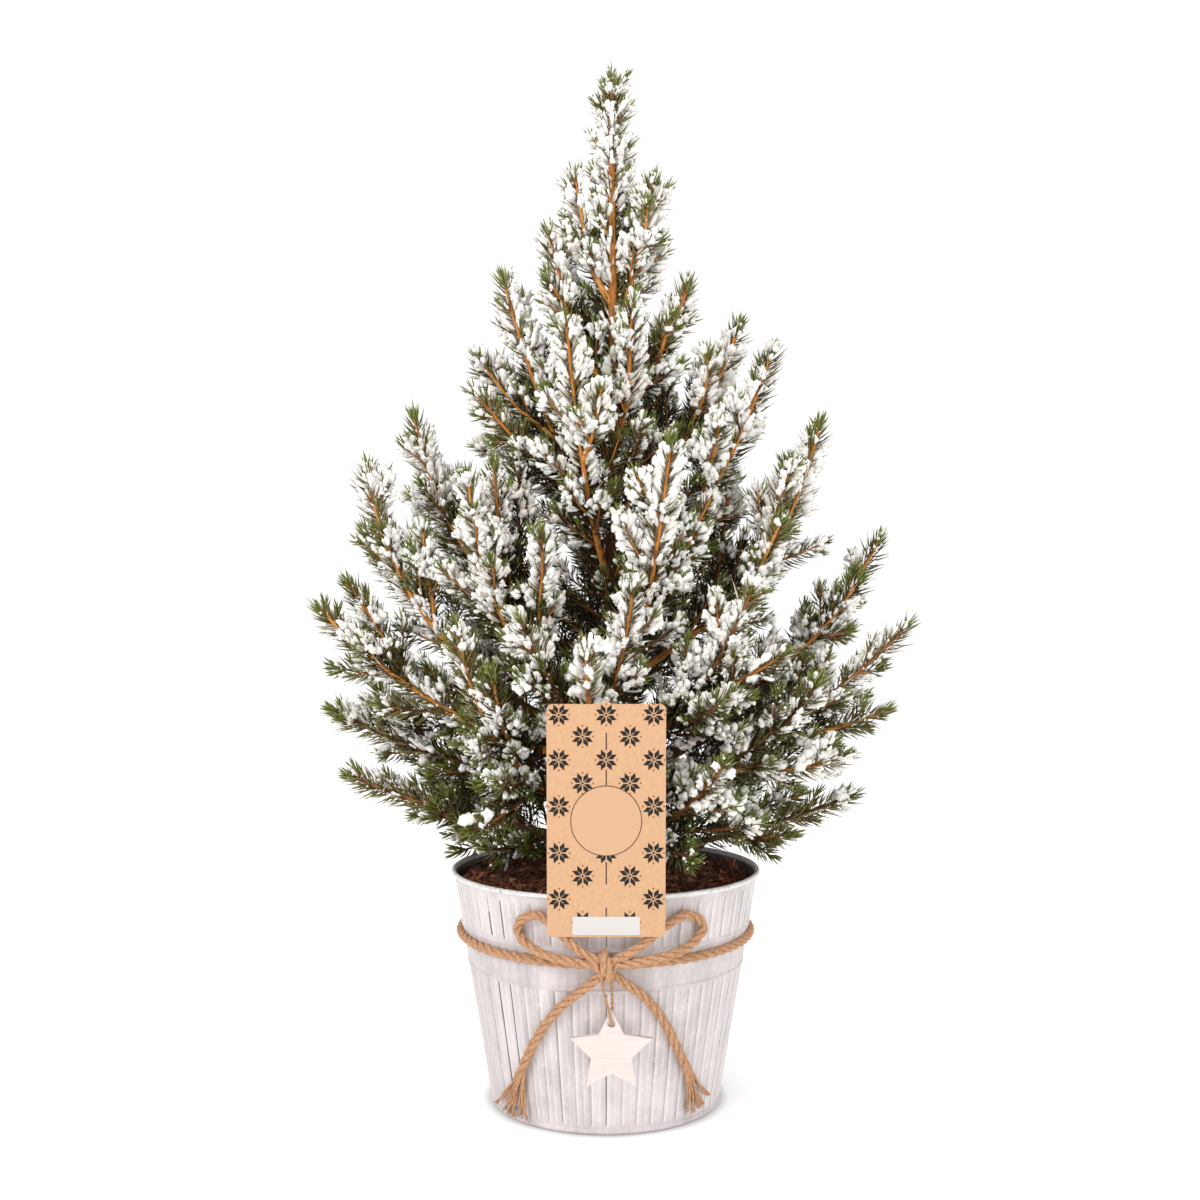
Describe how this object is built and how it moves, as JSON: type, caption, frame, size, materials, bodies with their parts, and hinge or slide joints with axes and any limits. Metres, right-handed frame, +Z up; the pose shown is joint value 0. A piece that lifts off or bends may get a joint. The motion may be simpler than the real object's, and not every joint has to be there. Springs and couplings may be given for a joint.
{
  "type": "potted dwarf spruce",
  "caption": "Small dwarf alberta spruce with frosted shoots in a fluted metal pot that has a rope bow, a hanging wooden star and a card tag.",
  "frame": {"origin": "centre of the pot's flat underside", "axes": "+Z up along the pot's axis, -Y towards the pictured front with the tag and the bow, +X to the right as seen from the front"},
  "size_m": [0.2994, 0.2362, 0.5245],
  "materials": {
    "zinc": "whitewashed galvanised sheet, mottled and worn",
    "soil": "coarse dark peat and bark chips, matt",
    "bark": "thin brown bark, matt",
    "foliage": "green needles under white flock, matt",
    "rope": "three-strand jute, hairy and matt",
    "star": "white-washed, paler along its edges",
    "card": "uncoated card, matt"
  },
  "bodies": {
    "root": {"bough_back": "bark", "bough_back_left": "bark", "bough_back_right": "bark", "bough_front_left": "bark", "bough_low_back_left": "bark", "bough_low_back_right": "bark", "bough_low_left": "bark", "bough_low_right": "bark", "bough_spreading_left": "bark", "bough_spreading_right": "bark", "bough_tall_left": "bark", "bow_loop_left": "rope", "bow_loop_right": "rope", "mass_back": "foliage", "mass_back_left": "foliage", "mass_back_right": "foliage", "mass_crown_tip": "foliage", "mass_diagonal_right": "foliage", "mass_front_left": "foliage", "mass_front_right": "foliage", "mass_low_back_left": "foliage", "mass_low_back_right": "foliage", "mass_low_front_right": "foliage", "mass_low_left": "foliage", "mass_low_right": "foliage", "mass_outer_left": "foliage", "mass_outer_right": "foliage", "mass_rising_left": "foliage", "mass_snowy_front": "foliage", "mass_spreading_left": "foliage", "mass_spreading_right": "foliage", "mass_summit_left": "foliage", "mass_summit_right": "foliage", "mass_tall_back": "foliage", "mass_tall_back_left": "foliage", "mass_tall_back_right": "foliage", "mass_tall_front_left": "foliage", "mass_tall_front_right": "foliage", "mass_tall_left": "foliage", "mass_tall_right": "foliage", "mass_top_back": "foliage", "mass_top_front": "foliage", "mass_top_left": "foliage", "mass_top_right": "foliage", "mass_upper_back_left": "foliage", "mass_upper_back_right": "foliage", "mass_upper_front": "foliage", "mass_upper_front_right": "foliage", "mass_upper_left": "foliage", "mass_upper_right": "foliage", "pot": "zinc", "rope_band": "rope", "rope_knot": "rope", "rope_tail_left": "rope", "rope_tail_right": "rope", "soil": "soil", "star": "star", "star_string": "rope", "tag": "card", "trunk": "bark"}
  },
  "joints": []
}
